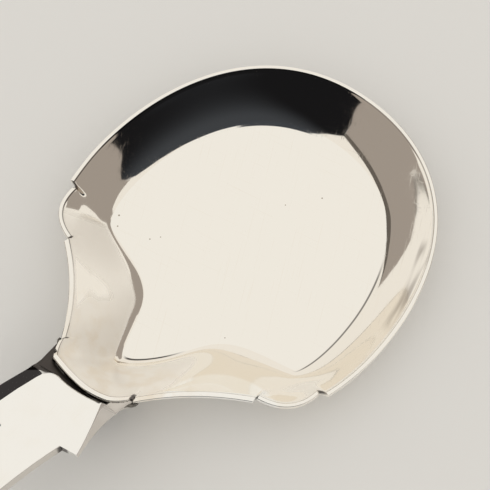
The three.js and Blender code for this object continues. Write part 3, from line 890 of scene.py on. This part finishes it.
RIM_CARD_HEIGHT = 0.4
BAND_TOP = [(29, 30), (32, 44), (40, 50), (50, 57), (62, 60), (74, 58), (82, 49), (95, 49), (102, 50)]
BAND_BOTTOM = [(93, 4), (80, 4), (73, 7), (70, 9), (65, 8.5), (61.5, 9), (60, 16.5), (51, 18), (45, 17),
               (32, 17)]
CARDS = {
    "camera_card": (DARK, OVER_THE_TOP + RIGHT_END + BEHIND_CAMERA + LEFT_END[::-1] + LEFT_TOP[-1:]),
    "left_card": (TAUPE, LEFT_CREASE + LEFT_END + LEFT_FOOT + LEFT_RIM + LEFT_BOTTOM),
    "crease_card": (SHADE, LEFT_TOP + LEFT_CREASE[::-1]),
    "rim_card": (SHADE, LEFT_RIM + [(h, e - RIM_CARD_HEIGHT) for h, e in LEFT_RIM[-2:0:-1]]),
    "right_card": (TAUPE, BAND_TOP + OVER_THE_TOP[-1:] + RIGHT_END + BAND_BOTTOM),
}

# A low dark card that stands along the handle, and the ground, in millimetres
HANDLE_CARD = (0.04, 0.036, 0.036)
HANDLE_CARD_RUN = (-60, -22)
HANDLE_CARD_Y = 14
HANDLE_CARD_HEIGHT = 17
GROUND = (0.8, 0.8, 0.8)
GROUND_ROUGHNESS = 0.6
GROUND_HALF_WIDTH = 1500
GROUND_GAP = 0.05


def make_world():
    world = bpy.data.worlds.new("studio")
    bpy.context.scene.world = world
    world.use_nodes = True
    world.node_tree.nodes["Background"].inputs["Color"].default_value = (*TENT, 1)


def sky_way(heading, height):
    """The way in the frame towards a heading and a height."""
    turn, rise = math.radians(heading), math.radians(height)
    across, ahead = math.cos(rise) * math.sin(turn), math.cos(rise) * math.cos(turn)
    return Vector((across * math.cos(VIEW_TURN) + ahead * math.sin(VIEW_TURN),
                   -across * math.sin(VIEW_TURN) + ahead * math.cos(VIEW_TURN), math.sin(rise)))


def sky_map(heading, height):
    """The same on a flat map round the point overhead, on which a card is cut into triangles."""
    turn, out = math.radians(heading), 90 - height
    return Vector((out * math.sin(turn), out * math.cos(turn), 0))


def card_paint(name, colour):
    """Plain emission, which on the dark card turns to blue-grey overhead."""
    look = Look(name)
    if colour != DARK:
        return look.glow((*colour, 1))
    at = look.add("ShaderNodeTexCoord", {}, "Object")
    way = look.add("ShaderNodeVectorMath", {0: at}, operation="NORMALIZE")
    return look.glow(look.mix(look.ramp(look.dot(way, DARK_TOP_WAY), *DARK_TOP_BLEND), DARK, DARK_TOP))


def make_card(name, colour, points, faces):
    """A card that only the metal's mirror images show."""
    mesh = bpy.data.meshes.new(name)
    mesh.from_pydata(points, [], faces)
    mesh.materials.append(card_paint(name, colour))
    card = add_object(name, mesh)
    card.visible_camera = False
    card.visible_diffuse = False
    card.visible_shadow = False


def make_sky_card(name, colour, corners):
    middle = Vector(in_frame((0, 0, 0)))
    points = [middle + sky_way(*c) * CARD_DISTANCE * MM for c in corners]
    make_card(name, colour, points, tessellate_polygon([[sky_map(*c) for c in corners]]))


def make_handle_card():
    (start, end), top = HANDLE_CARD_RUN, HANDLE_CARD_HEIGHT
    corners = [(x, HANDLE_CARD_Y, z) for x, z in ((start, 0), (end, 0), (end, top), (start, top))]
    make_card("handle_card", HANDLE_CARD, in_frame(corners), [(0, 1, 2, 3)])


def make_floor():
    half = GROUND_HALF_WIDTH * MM
    mesh = bpy.data.meshes.new("floor")
    mesh.from_pydata([(-half, -half, 0), (half, -half, 0), (half, half, 0), (-half, half, 0)], [],
                     [(0, 1, 2, 3)])
    look = Look("pale_floor", metallic=0)
    mesh.materials.append(look.surface(Base_Color=(*GROUND, 1), Roughness=GROUND_ROUGHNESS))
    floor = add_object("floor", mesh)
    floor.location.z = -GROUND_GAP * MM


bowl = make_bowl()
bowl.data.materials.append(bowl_silver())
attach(bowl, "root")
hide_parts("bowl")

handle = make_handle(bowl)
handle.data.materials.append(handle_silver())
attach(handle, "root")
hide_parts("handle")

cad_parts["solder_seam"].data.materials.clear()
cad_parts["solder_seam"].data.materials.append(solder_silver())

make_camera()
make_world()
for card_name, (card_colour, card_corners) in CARDS.items():
    make_sky_card(card_name, card_colour, card_corners)
make_handle_card()
make_floor()
bpy.context.scene.view_settings.view_transform = "Standard"
